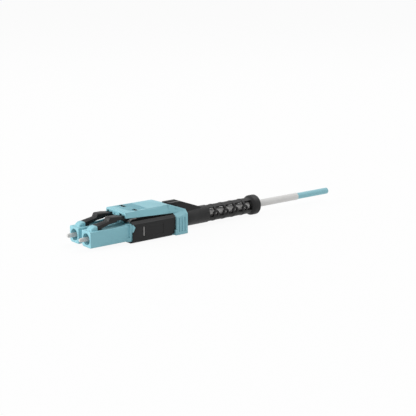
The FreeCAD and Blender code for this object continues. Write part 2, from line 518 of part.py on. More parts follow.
# ---------------------------------------------------------------- pull cover with its ring (moulded, aqua)
def slide_cover():
    """Hood over the latches, run out behind into a ring round the holder's spigot."""
    body = new_body("slide_cover")

    def section(bottom, wide_low, z_low, wide_top, z_top):
        return [(f"-({wide_low})", bottom), (wide_low, bottom), (wide_low, z_low), (wide_top, z_top),
                (f"-({wide_top})", z_top), (f"-({wide_low})", z_low)]

    # outside: hood, rear slope and ring, each a ruled loft between two cross sections
    front = section("skirt_front - 0.3", "skirt_wide / 2", "skirt_front",
                    "cover_front_wide / 2", "cover_front_top")
    crest = section("skirt_rear - 0.3", "skirt_wide / 2", "skirt_rear", "crest_wide / 2", "crest_top")
    back = section("skirt_rear - 0.3", "ring_slope_y", "ring_top - 0.1", "ring_slope_y - 0.1", "ring_top")
    loft(body, [("cover_front", front), ("crest_x", crest)])
    loft(body, [("crest_x", crest), ("ring_end", back)])
    wide = "ring_wide / 2"
    ring_front = section("-ring_low", wide, "ring_side_front", "skirt_wide / 2", "skirt_rear - 0.1")
    ring_back = section("-ring_low", wide, "ring_side_rear", "ring_slope_y", "ring_top - 0.05")
    loft(body, [("ring_front", ring_front), ("ring_end", ring_back)])
    # trim the hood's skirt to its sloping lower edge
    skirt = polygon(new_sketch(body, "XZ_Plane"), [
        ("cover_front - 1", "skirt_front - 1"), ("ring_front", "skirt_rear - 1"),
        ("ring_front", "skirt_rear - 0.05"), ("cover_front - 1", "skirt_front + 0.05")])
    pocket(body, skirt, "ring_wide + 2", both=True)
    # inside of the hood
    inside = "skirt_wide / 2 - side_wall"
    hollow_front = section("0", inside, "skirt_front - 0.2", "cover_front_wide / 2 - 0.3", "roof_under")
    hollow_back = section("0", inside, "skirt_rear - 0.3", "crest_wide / 2 - 0.3", "roof_under")
    loft(body, [("cover_front + front_wall", hollow_front), ("ring_front - 0.1", hollow_back)], cut=True)
    # cavity of the ring, its neck hole and the slot for the boot's shoulder
    cavity = "(holder_wide / 2 - spigot_step + ring_gap)"
    block(body, "ring_front", "ring_back", f"-{cavity}", cavity, "-ring_cavity_low", "ring_cavity_top",
          cut=True)
    drill(body, "ring_back - 0.1", "ring_end", "neck_hole")
    block(body, "boot_slot_front", "ring_end", "-boot_slot_wide / 2", "boot_slot_wide / 2", "0",
          "crest_top + 1", cut=True)
    # forward lip under the holder and the stepped side corners
    block(body, "lip_reach", "ring_front", "-holder_wide / 2 + 0.4", "holder_wide / 2 - 0.4",
          "-ring_low", "-ring_cavity_low")
    pair(body, "step_reach", "ring_front", cavity, wide, "-ring_low", "-step_top")
    # two arches for the latch necks, with a tongue between them, and a cam edge behind each arch
    middle, cam = "plug_pitch / 2", "(tail_wide / 2 + 0.05)"
    wall_back = "cover_front + front_wall"
    pair(body, "cover_front", wall_back, f"{middle} - arch_wide / 2", f"{middle} + arch_wide / 2", "0",
         "arch_top", cut=True)
    pair(body, wall_back, f"{wall_back} + cam_thick", f"{middle} - {cam}", f"{middle} + {cam}",
         "cam_low", "roof_under + 0.1")
    # window over each latch tail
    pair(body, "window_front", "window_end", f"{middle} - window_wide / 2", f"{middle} + window_wide / 2",
         "roof_under - 0.2", "crest_top + 1", cut=True)
    dimple = new_sketch(body, "YZ_Plane", "cover_front")
    rectangle(dimple, "-0.85", "0.85", "tongue_low + 0.2", "tongue_low + 0.75")
    pocket(body, dimple, "front_wall / 2")
    # grip: grooves along the roof panel
    slope = "(crest_top - cover_front_top) / (crest_x - cover_front)"
    panel_floor = f"cover_front_top + (panel_front - cover_front) * {slope} - panel_deep"
    grooves = new_sketch(body, "XY_Plane", panel_floor)
    for number in range(int(size("panel_ribs"))):
        line = f"({number} - (panel_ribs - 1) / 2) * panel_pitch"
        rectangle(grooves, "panel_front", "panel_end", f"{line} - panel_cut / 2", f"{line} + panel_cut / 2")
    pocket(body, grooves, "1")
    # grip: upright grooves on the ring's sides
    for sign in (-1, 1):
        ribs = new_sketch(body, "XZ_Plane", f"{sign} * (ring_wide / 2 - rib_deep)")
        for number in range(int(size("rib_count"))):
            line = f"rib_first + {number} * rib_pitch"
            rectangle(ribs, f"{line} - rib_cut / 2", f"{line} + rib_cut / 2", "-rib_low", "rib_high")
        pocket(body, ribs, "1", back=sign > 0)
    return body


# ---------------------------------------------------------------- boot (soft moulding, black)
def boot():
    """Strain relief with a flange in the ring, a ridged shoulder, an open cage and a grip collar."""
    body = new_body("boot")
    tube, hole = "boot_tube / 2", "sleeve_hole / 2"
    neck, core = "boot_neck / 2", "boot_bore / 2"
    cage, rim = "cage_tube / 2", "collar_ring / 2"
    turned(body, [
        ("boot_front", core), ("boot_front", neck), ("tube_start", neck), ("tube_start", tube),
        ("cage_body", tube), ("cage_body", cage), ("cage_end", cage), ("cage_end", "collar_foot / 2"),
        ("collar_from", rim), ("boot_end - collar_round", rim),
        ("boot_end - 0.27 * collar_round", f"{rim} - 0.27 * collar_round"),
        ("boot_end", f"{rim} - collar_round"), ("boot_end", hole), ("boot_bore_end", hole),
        ("boot_bore_end", core)])
    block(body, "boot_front", "flange_back", "-boot_flange_wide / 2", "boot_flange_wide / 2",
          "-boot_flange_low", "boot_flange_top")
    # shoulder: a ridged block that runs down to the tube
    half = "shoulder_wide / 2"
    block(body, "shoulder_front", "shoulder_end", f"-{half}", half, "0", "shoulder_top")
    slim = "blend_wide / 2"
    ridge = [(f"-{half}", "0"), (half, "0"), (half, "shoulder_top"), (f"-{half}", "shoulder_top")]
    foot = [(f"-{slim}", "0"), (slim, "0"), (slim, "blend_top"), (f"-{slim}", "blend_top")]
    loft(body, [("shoulder_end", ridge), ("blend_end", foot)])
    block(body, "shoulder_front", "shoulder_end + 1.5", "-shoulder_groove / 2", "shoulder_groove / 2",
          "shoulder_top - groove_deep", "shoulder_top + 1", cut=True)
    drill(body, "boot_front", "boot_bore_end", "boot_bore")
    drill(body, "boot_bore_end", "blend_end", "sleeve_hole")
    # cage: long side slots, then hoops with round eyes
    drill(body, "cage_start + 0.4", "cage_end - 0.4", "cage_inside")
    slot = rectangle(new_sketch(body, "XZ_Plane"), "cage_start", "cage_end - 0.3", "-cage_high", "cage_high")
    pocket(body, slot, "boot_tube + 2", both=True)
    middles = [f"(hoop_first + {number} * hoop_pitch)" for number in range(int(size("hoop_count")))]
    hoops = new_sketch(body, "XZ_Plane")
    for middle in middles:
        rectangle(hoops, f"{middle} - hoop_thick / 2", f"{middle} + hoop_thick / 2",
                  "cage_inside / 2", "hoop_outer / 2")
    feature(body, "Revolution", hoops, ReferenceAxis=(hoops, ["H_Axis"]), Angle=360.0)
    for sign in (-1, 1):
        eyes = new_sketch(body, "XZ_Plane", f"{sign} * cage_inside / 2")
        for middle in middles:
            circle(eyes, middle, "0", "eye_outer")
        feature(body, "Pad", eyes, Length="eye_out - cage_inside / 2", Reversed=sign < 0)
    holes = new_sketch(body, "XZ_Plane")
    for middle in middles:
        circle(holes, middle, "0", "eye_hole")
    pocket(body, holes, "boot_tube + 2", both=True)
    # low pads on the top bar, one behind each hoop
    pads = new_sketch(body, "XZ_Plane")
    for middle in middles[:-1]:
        rectangle(pads, f"{middle} + hoop_thick / 2 + bar_pad_gap",
                  f"{middle} + hoop_pitch - hoop_thick / 2 - bar_pad_gap", "cage_tube / 2 - 0.3",
                  "bar_pad_top")
    feature(body, "Pad", pads, Length="bar_pad_wide", Midplane=True)
    return body


# ---------------------------------------------------------------- cable end
def cable_post():
    """Turned post seated in the holder's rear wall; the cable jacket is pushed into its shank."""
    body = new_body("cable_post")
    turned(body, [
        ("post_front", "post_bore / 2"), ("post_front", "post_head / 2"),
        ("rear_wall - 0.1", "post_head / 2"), ("rear_wall - 0.1", "post_body / 2"),
        ("spigot_end", "post_body / 2"),
        ("spigot_end", "post_shank / 2"), ("post_end", "post_shank / 2"), ("post_end", "jacket_hole / 2"),
        ("jacket_start - 0.05", "jacket_hole / 2"), ("jacket_start - 0.05", "post_bore / 2")])
    return body


def crimp_ring():
    """Metal ring closed over the post's shank, with two crimp beads."""
    body = new_body("crimp_ring")
    outer = "crimp_outer / 2"
    turned(body, [
        ("crimp_start", "crimp_inner / 2"), ("crimp_start", outer), ("crimp_start + 1.4", outer),
        ("crimp_start + 1.7", f"{outer} - 0.12"), ("crimp_start + 2.5", f"{outer} - 0.12"),
        ("crimp_start + 2.8", outer), ("crimp_end", outer), ("crimp_end", "crimp_inner / 2")])
    return body


def cable_sleeve():
    """Pale sleeve over the cable, from inside the boot to short of the cable's end."""
    body = new_body("cable_sleeve")
    turned(body, [
        ("shrink_start", "shrink_inner / 2"), ("shrink_start", "shrink_outer / 2"),
        ("shrink_end", "shrink_outer / 2"), ("shrink_end", "shrink_inner / 2")])
    return body


def cable():
    """Round duplex cable jacket, cut square."""
    body = new_body("cable")
    outline = circle(new_sketch(body, "YZ_Plane", "jacket_start"), "0", "0", "cable_bore")
    pad(body, outline, "cable_end - jacket_start")
    return body


# ---------------------------------------------------------------- build, check and write
parts = [make(side, sign) for make in (plug_housing, latch, ferrule, ferrule_holder, ferrule_spring,
                                       spring_stop, fibre_buffer) for side, sign in SIDES]
parts += [make() for make in (holder, retainer, slide_cover, boot, cable_post, crimp_ring, cable_sleeve,
                              cable)]
doc.recompute()
for item in doc.Objects:
    if "Invalid" in item.State or "Error" in item.State:
        raise RuntimeError(f"{item.Name} failed: {item.State}")
os.makedirs("parts", exist_ok=True)
for part in parts:
    shape = part.Shape
    if shape.isNull() or not shape.isValid() or len(shape.Solids) != 1:
        raise RuntimeError(f"{part.Label} is not one valid solid")
    shape.exportStep(f"parts/{part.Label}.step")
    print(f"{part.Label}: {shape.Volume:.2f} mm3")
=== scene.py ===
import json
import math

import bmesh
import bpy
import numpy as np
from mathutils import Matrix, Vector

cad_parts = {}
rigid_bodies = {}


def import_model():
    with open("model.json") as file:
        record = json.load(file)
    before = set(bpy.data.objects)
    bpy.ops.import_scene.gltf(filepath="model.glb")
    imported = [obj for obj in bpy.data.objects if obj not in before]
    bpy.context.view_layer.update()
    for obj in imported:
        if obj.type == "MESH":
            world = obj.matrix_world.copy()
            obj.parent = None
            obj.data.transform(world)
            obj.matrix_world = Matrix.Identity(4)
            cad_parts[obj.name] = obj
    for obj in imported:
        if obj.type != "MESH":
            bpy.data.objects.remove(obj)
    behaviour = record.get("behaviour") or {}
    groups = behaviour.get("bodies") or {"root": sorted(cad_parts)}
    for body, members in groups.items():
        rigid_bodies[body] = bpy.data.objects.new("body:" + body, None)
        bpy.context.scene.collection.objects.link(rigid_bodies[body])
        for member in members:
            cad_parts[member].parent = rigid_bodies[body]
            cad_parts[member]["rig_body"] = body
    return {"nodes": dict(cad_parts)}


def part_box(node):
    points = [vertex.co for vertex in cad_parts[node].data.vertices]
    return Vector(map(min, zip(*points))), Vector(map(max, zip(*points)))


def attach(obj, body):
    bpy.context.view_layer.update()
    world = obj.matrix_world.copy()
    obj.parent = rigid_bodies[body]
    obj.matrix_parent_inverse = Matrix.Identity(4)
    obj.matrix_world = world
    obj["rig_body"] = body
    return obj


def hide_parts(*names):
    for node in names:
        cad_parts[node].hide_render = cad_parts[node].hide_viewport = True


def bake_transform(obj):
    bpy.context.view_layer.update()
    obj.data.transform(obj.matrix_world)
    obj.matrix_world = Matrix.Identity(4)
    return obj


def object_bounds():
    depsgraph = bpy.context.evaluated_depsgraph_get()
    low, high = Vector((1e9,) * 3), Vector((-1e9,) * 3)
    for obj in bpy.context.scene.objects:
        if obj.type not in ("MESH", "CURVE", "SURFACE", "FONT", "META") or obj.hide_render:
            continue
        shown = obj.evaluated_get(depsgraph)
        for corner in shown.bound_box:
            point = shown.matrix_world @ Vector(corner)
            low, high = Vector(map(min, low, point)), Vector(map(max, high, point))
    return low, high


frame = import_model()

cad_low, cad_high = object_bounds()
mm = 0.001

# ==================================================================== camera, floor and studio light
# A long lens looks along the cable from in front, above the near plug.  Floor and surroundings are
# white to the eye; a wide lamp in front of the plugs, one overhead and an even pale fill give light.
eye = Vector((-135.92, -225.46, 69.81)) * mm
away = Vector((-0.6092, -0.7589, 0.2299))
camera = bpy.data.objects.new("camera", bpy.data.cameras.new("camera"))
camera.data.sensor_width = 36
camera.data.lens = 84.98
camera.data.clip_start = 0.01
camera.location = eye
camera.rotation_mode = "QUATERNION"
camera.rotation_quaternion = away.to_track_quat("Z", "Y")
bpy.context.scene.collection.objects.link(camera)
bpy.context.scene.camera = camera
bpy.context.scene.view_settings.view_transform = "Standard"


def add(tree, kind, inputs=(), **settings):
    """Shader node with its settings; each input is a value or the socket that feeds it."""
    made = tree.nodes.new("ShaderNode" + kind)
    for key, value in settings.items():
        setattr(made, key, value)
    for key, value in dict(inputs).items():
        if isinstance(value, bpy.types.NodeSocket):
            tree.links.new(value, made.inputs[key])
        else:
            made.inputs[key].default_value = value
    return made


def empty_material(name):
    """New material with an empty node tree, and that tree."""
    material = bpy.data.materials.new(name)
    material.use_nodes = True
    material.node_tree.nodes.clear()
    return material, material.node_tree


def seen_rays(tree):
    """1 for the eye's rays and for those that polished or clear surfaces send on, else 0."""
    path = add(tree, "LightPath")
    either = add(tree, "Math", {0: path.outputs["Is Camera Ray"], 1: path.outputs["Is Glossy Ray"]},
                 operation="MAXIMUM")
    return add(tree, "Math", {0: either.outputs[0], 1: path.outputs["Is Transmission Ray"]},
               operation="MAXIMUM").outputs[0]


fill_level = 0.56
world = bpy.data.worlds.new("studio")
bpy.context.scene.world = world
world.use_nodes = True
tree = world.node_tree
tree.nodes.clear()
fill = add(tree, "Background", {"Color": (1, 1, 1, 1), "Strength": fill_level})
white = add(tree, "Background", {"Color": (1, 1, 1, 1), "Strength": 1.0})
shown = add(tree, "MixShader", {0: seen_rays(tree), 1: fill.outputs[0], 2: white.outputs[0]})
add(tree, "OutputWorld", {"Surface": shown.outputs[0]})

floor_half, floor_tone, floor_glow = 3.0, 0.86, 0.93
floor_mesh = bpy.data.meshes.new("floor")
floor_mesh.from_pydata([(-floor_half, -floor_half, cad_low.z), (floor_half, -floor_half, cad_low.z),
                        (floor_half, floor_half, cad_low.z), (-floor_half, floor_half, cad_low.z)],
                       [], [(0, 1, 2, 3)])
floor = bpy.data.objects.new("floor", floor_mesh)
bpy.context.scene.collection.objects.link(floor)
# The floor takes the object's soft shadow as matt grey, is nearly white to the eye, and isn't there
# from below.
white_floor, tree = empty_material("white_floor")
matt = add(tree, "BsdfDiffuse", {"Color": (floor_tone, floor_tone, floor_tone, 1)})
bright = add(tree, "Emission", {"Color": (1, 1, 1, 1), "Strength": 1.0})
share = add(tree, "Math", {0: seen_rays(tree), 1: floor_glow}, operation="MULTIPLY")
top = add(tree, "MixShader", {0: share.outputs[0], 1: matt.outputs[0], 2: bright.outputs[0]})
below = add(tree, "NewGeometry").outputs["Backfacing"]
clear = add(tree, "BsdfTransparent")
both = add(tree, "MixShader", {0: below, 1: top.outputs[0], 2: clear.outputs[0]})
add(tree, "OutputMaterial", {"Surface": both.outputs[0]})
floor_mesh.materials.append(white_floor)


def lamp(name, toward, distance, side, level):
    """Square lamp that lights a facing matt white surface at the middle to the given level."""
    data = bpy.data.lights.new(name, "AREA")
    data.shape = "SQUARE"
    data.size = side
    data.energy = level * math.pi ** 2 * distance ** 2
    made = bpy.data.objects.new(name, data)
    direction = Vector(toward).normalized()
    made.location = (cad_low + cad_high) / 2 + direction * distance
    made.rotation_mode = "QUATERNION"
    made.rotation_quaternion = direction.to_track_quat("Z", "Y")
    bpy.context.scene.collection.objects.link(made)


lamp("front_lamp", toward=(-0.82, 0.50, 0.22), distance=0.9, side=0.5, level=0.83)
lamp("top_lamp", toward=(0.5, -0.05, 0.86), distance=0.9, side=0.6, level=0.36)

# ==================================================================== cable
# Round duplex jacket, aqua and slightly soft, cut square behind a pale sleeve.  It is stiff for its
# length and stands straight out of the boot, with yellow yarn and two coated fibres at the cut.
cable_low, cable_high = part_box("cable")
boot_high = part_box("boot")[1]
cable_radius = (cable_high.z - cable_low.z) / 2
free_length = cable_high.x - boot_high.x


def skin_group():
    """Moulded or extruded surface: a fine even grain, a broad drift of tone and paler corners.

    The grain is noise at Grain per metre; the drift is noise at Drift per metre, scaled by Uneven;
    the corner mask is how far the normal turns when the edges are rounded by Corner, and Corner
    highlight mixes that much white into the colour there: a painted highlight for the light that
    rounded edges catch.
    """
    group = bpy.data.node_groups.new("moulded_skin", "ShaderNodeTree")
    face = group.interface
    for name, kind, value in (("Colour", "Color", (0.5, 0.5, 0.5, 1)), ("Grain", "Float", 9000.0),
                              ("Drift", "Float", 160.0), ("Uneven", "Float", 0.05),
                              ("Gloss", "Float", 0.45), ("Corner", "Float", 0.00012),
                              ("Corner lift", "Float", 0.2)):
        socket = face.new_socket(name, in_out="INPUT", socket_type="NodeSocket" + kind)
        socket.default_value = value
    for name, kind in (("Color", "Color"), ("Roughness", "Float"), ("Height", "Float")):
        face.new_socket(name, in_out="OUTPUT", socket_type="NodeSocket" + kind)
    given = group.nodes.new("NodeGroupInput").outputs
    place = add(group, "TexCoord").outputs["Object"]
    grain = add(group, "TexNoise", {"Vector": place, "Scale": given["Grain"], "Detail": 3.0})
    drift = add(group, "TexNoise", {"Vector": place, "Scale": given["Drift"], "Detail": 2.0})
    centred = add(group, "Math", {0: drift.outputs["Fac"], 1: 0.5}, operation="SUBTRACT").outputs[0]
    swing = add(group, "Math", {0: centred, 1: given["Uneven"]}, operation="MULTIPLY").outputs[0]
    tone = add(group, "Math", {0: swing, 1: 1.0}, operation="ADD").outputs[0]
    toned = add(group, "VectorMath", {0: given["Colour"], "Scale": tone}, operation="SCALE")
    # Painted highlight: the colour is mixed towards white where the rounded normal turns from the face's
    # own.
    rounded = add(group, "Bevel", {"Radius": given["Corner"]}, samples=4).outputs["Normal"]
    facing = add(group, "NewGeometry").outputs["Normal"]
    along = add(group, "VectorMath", {0: rounded, 1: facing}, operation="DOT_PRODUCT").outputs["Value"]
    corner = add(group, "MapRange", {"Value": along, "From Min": 1.0, "From Max": 0.75,
                                     "To Min": 0.0, "To Max": 1.0}, clamp=True).outputs[0]
    lift = add(group, "Math", {0: corner, 1: given["Corner lift"]}, operation="MULTIPLY").outputs[0]
    highlighted = add(group, "Mix", {0: lift, 6: toned.outputs[0], 7: (1, 1, 1, 1)}, data_type="RGBA")
    rough = add(group, "Math", {0: swing, 1: 2.0, 2: given["Gloss"]}, operation="MULTIPLY_ADD").outputs[0]
    out = group.nodes.new("NodeGroupOutput").inputs
    group.links.new(highlighted.outputs[2], out["Color"])
    group.links.new(rough, out["Roughness"])
    group.links.new(grain.outputs["Fac"], out["Height"])
    return group


moulded_skin = skin_group()


def plastic(name, colour, gloss=0.45, shine=0.5, depth=0.004, clear=0.0, **skin):
    """Material for a moulded or extruded plastic; depth is the grain's height in millimetres."""
    material, tree = empty_material(name)
    surface = tree.nodes.new("ShaderNodeGroup")
    surface.node_tree = moulded_skin
    surface.inputs["Colour"].default_value = (*colour, 1)
    surface.inputs["Gloss"].default_value = gloss
    for key, value in skin.items():
        surface.inputs[key.replace("_", " ")].default_value = value
    bump = add(tree, "Bump", {"Height": surface.outputs["Height"], "Strength": 0.35,
                              "Distance": depth * mm})
    shader = add(tree, "BsdfPrincipled", {
        "Base Color": surface.outputs["Color"], "Roughness": surface.outputs["Roughness"],
        "Normal": bump.outputs["Normal"], "Specular IOR Level": shine, "Coat Weight": clear,
        "Coat Roughness": 0.25})
    add(tree, "OutputMaterial", {"Surface": shader.outputs[0]})
    return material


def new_piece(name, data, material):
    """Object at the origin that shows a mesh or a curve in one material."""
    data.materials.clear()
    data.materials.append(material)
    piece = bpy.data.objects.new(name, data)
    bpy.context.scene.collection.objects.link(piece)
    return piece


aqua = (0.262, 0.545, 0.618)
cable_jacket = plastic("aqua_jacket", aqua, gloss=0.5, Grain=5200.0, Uneven=0.05)

cut_length = 0.4
jacket_length = free_length - cut_length * mm
route = [(boot_high.x, 0, 0), (boot_high.x + jacket_length / 2, 0, 0), (boot_high.x + jacket_length, 0, 0)]
jacket_curve = bpy.data.curves.new("cable_jacket", "CURVE")
jacket_curve.dimensions = "3D"
spline = jacket_curve.splines.new("NURBS")
spline.points.add(len(route) - 1)
for point, place in zip(spline.points, route):
    point.co = (*place, 1)
spline.order_u = 3
spline.use_endpoint_u = True
jacket_curve.bevel_depth = cable_radius
jacket_curve.bevel_resolution = 16
jacket_curve.use_fill_caps = True
cable_piece = new_piece("cable_jacket", jacket_curve, cable_jacket)
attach(cable_piece, "connector")
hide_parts("cable")


def surface_piece(name, points, material, body, closed=False, caps=False):
    """Mesh from a grid of points, rows by columns, where each quad joins four neighbours.

    The last column joins the first, and so does the last row where the grid is closed; caps fill
    the first and the last row with one face each.
    """
    crease = math.radians(35)
    rows, columns = points.shape[:2]
    number = np.arange(rows * columns).reshape(rows, columns)
    here = number if closed else number[:-1]
    down = np.roll(number, -1, 0) if closed else number[1:]
    faces = np.stack([here, np.roll(here, -1, 1), np.roll(down, -1, 1), down], -1).reshape(-1, 4).tolist()
    if caps:
        faces += [number[0, ::-1].tolist(), number[-1].tolist()]
    mesh = bpy.data.meshes.new(name)
    mesh.from_pydata(points.reshape(-1, 3).tolist(), [], faces)
    work = bmesh.new()
    work.from_mesh(mesh)
    bmesh.ops.remove_doubles(work, verts=work.verts, dist=1e-7)
    bmesh.ops.recalc_face_normals(work, faces=work.faces)
    work.to_mesh(mesh)
    work.free()
    mesh.shade_smooth()
    mesh.set_sharp_from_angle(angle=crease)
    piece = new_piece(name, mesh, material)
    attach(piece, body)
    return piece


def eased(corners, radius):
    """Profile with each inner corner replaced by a small arc: a quadratic curve between two points
    set back from the corner by the radius, or by less where the runs are short."""
    arc_points, most = 5, 0.45
    corners = np.asarray(corners, float)
    made = [corners[:1]]
    t = np.linspace(0, 1, arc_points)[:, None]
    for before, corner, after in zip(corners, corners[1:], corners[2:]):
        back, on = before - corner, after - corner
        reach = min(radius, most * np.linalg.norm(back), most * np.linalg.norm(on))
        start = corner + back / np.linalg.norm(back) * reach
        stop = corner + on / np.linalg.norm(on) * reach
        made.append((1 - t) ** 2 * start + 2 * t * (1 - t) * corner + t ** 2 * stop)
    return np.vstack([*made, corners[-1:]])


def turned(name, corners, material, body, centre=(0, 0, 0), radius=0.05, around=64,
           closed=False, axis="x"):
    """Profile of (distance, radius) in millimetres carried round an axis along X or Y: the other two
    coordinates are the radius times the cosine and sine of the angle, all from the centre."""
    profile = eased(corners, radius)
    angle = np.linspace(0, 2 * math.pi, around, endpoint=False)
    along = np.repeat(profile[:, :1], around, 1)
    across = profile[:, 1:] * np.cos(angle)
    up = profile[:, 1:] * np.sin(angle)
    order = (along, across, up) if axis == "x" else (across, along, up)
    points = np.stack(order, -1) + np.array(centre)
    return surface_piece(name, points * mm, material, body, closed)


jacket_wall, cut_depth = 0.3, 0.16
outer, inner = cable_radius / mm, cable_radius / mm - jacket_wall
end = cable_high.x / mm
cut_floor = end - cut_depth
cut_face = turned("cable_cut_face", [
    (end - cut_length, 0), (end - cut_length, outer), (end, outer), (end, inner), (cut_floor, inner),
    (cut_floor, 0)], cable_jacket, "connector", radius=0.06)

fibre_radius, fibre_off, fibre_room = 0.125, 0.16, 0.16
strand_count, strand_radius, strand_sides = 150, 0.034, 6
strand_gap, strand_root, strand_least = 0.03, 0.05, 0.03
golden_turn, fray, fray_step = 2.39996, 0.09, 12.9898


def yarn_mesh():
    """Short straight strands, spread over the cut by the golden turn: strand n of N lies n turns
    round, at the root of (n + 0.5) / N times the inner radius, and none stands where a fibre does.

    Each strand is a ring of corners at its foot and one at its tip, joined by quads and closed at
    both ends; the heights of the tips follow the sine of n times a fixed step.
    """
    number = np.arange(strand_count)
    spread = np.sqrt((number + 0.5) / strand_count) * (inner - strand_gap)
    middle = np.stack([spread * np.cos(number * golden_turn), spread * np.sin(number * golden_turn)], -1)
    tip = cut_floor + strand_least + fray * np.abs(np.sin(number * fray_step))
    free = np.abs(np.abs(middle[:, 0]) - fibre_off) + np.abs(middle[:, 1]) > fibre_room
    middle, tip = middle[free], tip[free]
    angle = np.linspace(0, 2 * math.pi, strand_sides, endpoint=False)
    ring = np.stack([np.cos(angle), np.sin(angle)], -1) * strand_radius
    across = middle[:, None, :] + ring[None]
    foot_x = np.full(across.shape[:2] + (1,), cut_floor - strand_root)
    tip_x = np.broadcast_to(tip[:, None, None], foot_x.shape)
    points = np.concatenate([np.concatenate([foot_x, across], -1),
                             np.concatenate([tip_x, across], -1)], 1)
    first = (np.arange(len(middle)) * 2 * strand_sides)[:, None]
    step = np.arange(strand_sides)
    beside = (step + 1) % strand_sides
    sides = np.stack([first + step, first + beside, first + strand_sides + beside,
                      first + strand_sides + step], -1)
    mesh = bpy.data.meshes.new("cable_yarn")
    mesh.from_pydata((points.reshape(-1, 3) * mm).tolist(), [], [
        *sides.reshape(-1, 4).tolist(), *(first + strand_sides + step).tolist(),
        *(first + strand_sides - 1 - step).tolist()])
    return mesh


yellow_yarn = plastic("yellow_yarn", (0.62, 0.42, 0.05), gloss=0.7, depth=0.05, Grain=26000.0,
                      Uneven=0.5, Drift=9000.0)
yarn_piece = new_piece("cable_yarn", yarn_mesh(), yellow_yarn)
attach(yarn_piece, "connector")
fibre_coats = [plastic("coat_blue", (0.02, 0.16, 0.5), gloss=0.3),
               plastic("coat_orange", (0.8, 0.22, 0.02), gloss=0.3)]
fibre_foot, fibre_face = cut_floor - 0.1, end - 0.01
fibre_profile = [(fibre_foot, 0), (fibre_foot, fibre_radius), (fibre_face, fibre_radius), (fibre_face, 0)]
fibre_ends = [turned(f"fibre_end_{side}", fibre_profile, coat, "connector",
                     centre=(0, sign * fibre_off, 0), radius=0.02, around=24)
              for side, sign, coat in zip("ab", (-1, 1), fibre_coats)]

# ==================================================================== cable sleeve
# Pale tube shrunk over the jacket, from inside the boot to short of the cut.  It stiffens the cable
# where it bends and shows through the boot's cage, with the jacket running on inside the boot.
pale_tube = plastic("pale_tube", (0.70, 0.695, 0.685), gloss=0.5, Grain=4200.0, Uneven=0.06)
sleeve_low, sleeve_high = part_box("cable_sleeve")
sleeve_front, sleeve_rear = sleeve_low.x / mm, sleeve_high.x / mm
sleeve_clearance = 0.01
sleeve_inner, sleeve_outer = outer + sleeve_clearance, sleeve_high.z / mm
sleeve_piece = turned("sleeve_tube", [
    (sleeve_front, sleeve_inner), (sleeve_front, sleeve_outer), (sleeve_rear, sleeve_outer),
    (sleeve_rear, sleeve_inner)], pale_tube, "connector", radius=0.12, closed=True)
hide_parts("cable_sleeve")
turned("jacket_inside", [
    (cable_low.x / mm, 0.0), (cable_low.x / mm, outer), (boot_high.x / mm, outer), (boot_high.x / mm, 0.0)],
    cable_jacket, "connector")

# ==================================================================== plug housings
# Two aqua injection mouldings with a square nose, a round bore for the ferrule, and a recess on top
# that carries the latch.  Every outer corner has a small moulded radius.
aqua_plastic = plastic("aqua_moulding", aqua, gloss=0.45, shine=0.3, Uneven=0.035)


def has_room(edge, width):
    """True where every line that leaves the edge sideways is longer than about two corner widths,
    and a short edge runs on in nearly the same line at both of its ends."""
    least, in_line = 2.2 * width, 0.87
    run = (edge.verts[1].co - edge.verts[0].co).normalized()
    for vert in edge.verts:
        runs_on = False
        for beside in vert.link_edges:
            if beside is edge:
                continue
            length = beside.calc_length()
            if abs((beside.other_vert(vert).co - vert.co).dot(run)) > in_line * length:
                runs_on = runs_on or beside.tag
            elif length < least and set(beside.link_faces) & set(edge.link_faces):
                return False
        if not runs_on and edge.calc_length() < least:
            return False
    return True


def merged_copy(node):
    """A CAD node, a copy of its mesh, and that mesh's loose triangles joined in an open bmesh."""
    source = frame["nodes"][node]
    mesh = source.data.copy()
    work = bmesh.new()
    work.from_mesh(mesh)
    bmesh.ops.remove_doubles(work, verts=work.verts, dist=2e-7)
    return source, mesh, work


def rounded_copy(node, name, material, width, angle=28):
    """Copy of a CAD solid with its flat faces made whole again and its outer corners rounded by a
    bevel of width mm, wherever the lines beside a corner leave room for it."""
    source, mesh, work = merged_copy(node)
    bmesh.ops.dissolve_limit(work, angle_limit=math.radians(0.2), verts=work.verts, edges=work.edges)
    weight = work.edges.layers.float.new("bevel_weight_edge")
    for edge in work.edges:
        edge.tag = edge.is_manifold and edge.calc_face_angle() > math.radians(angle)
    for edge in work.edges:
        edge[weight] = float(edge.tag and edge.is_convex and has_room(edge, width * mm))
        edge.smooth = not edge.tag or edge[weight] > 0
    work.to_mesh(mesh)
    work.free()
    mesh.shade_smooth()
    piece = new_piece(name, mesh, material)
    bevel = piece.modifiers.new("corner_radius", "BEVEL")
    bevel.width = width * mm
    bevel.segments = 2
    bevel.limit_method = "WEIGHT"
    bevel.use_clamp_overlap = False
    bevel.harden_normals = True
    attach(piece, source["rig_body"])
    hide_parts(node)
    return piece


for side in "ab":
    rounded_copy(f"plug_housing_{side}", f"plug_shell_{side}", aqua_plastic, 0.08)

# ==================================================================== ferrules and their holders
# A polished pale ceramic pin with a domed, coned tip, pressed into a turned and plated barrel that
# floats on its spring inside the plug.
ceramic = plastic("polished_ceramic", (0.55, 0.545, 0.535), gloss=0.32, shine=0.4, depth=0.0, clear=0.1,
                  Uneven=0.02)
tip_cone, tip_radius = 0.5, 0.36


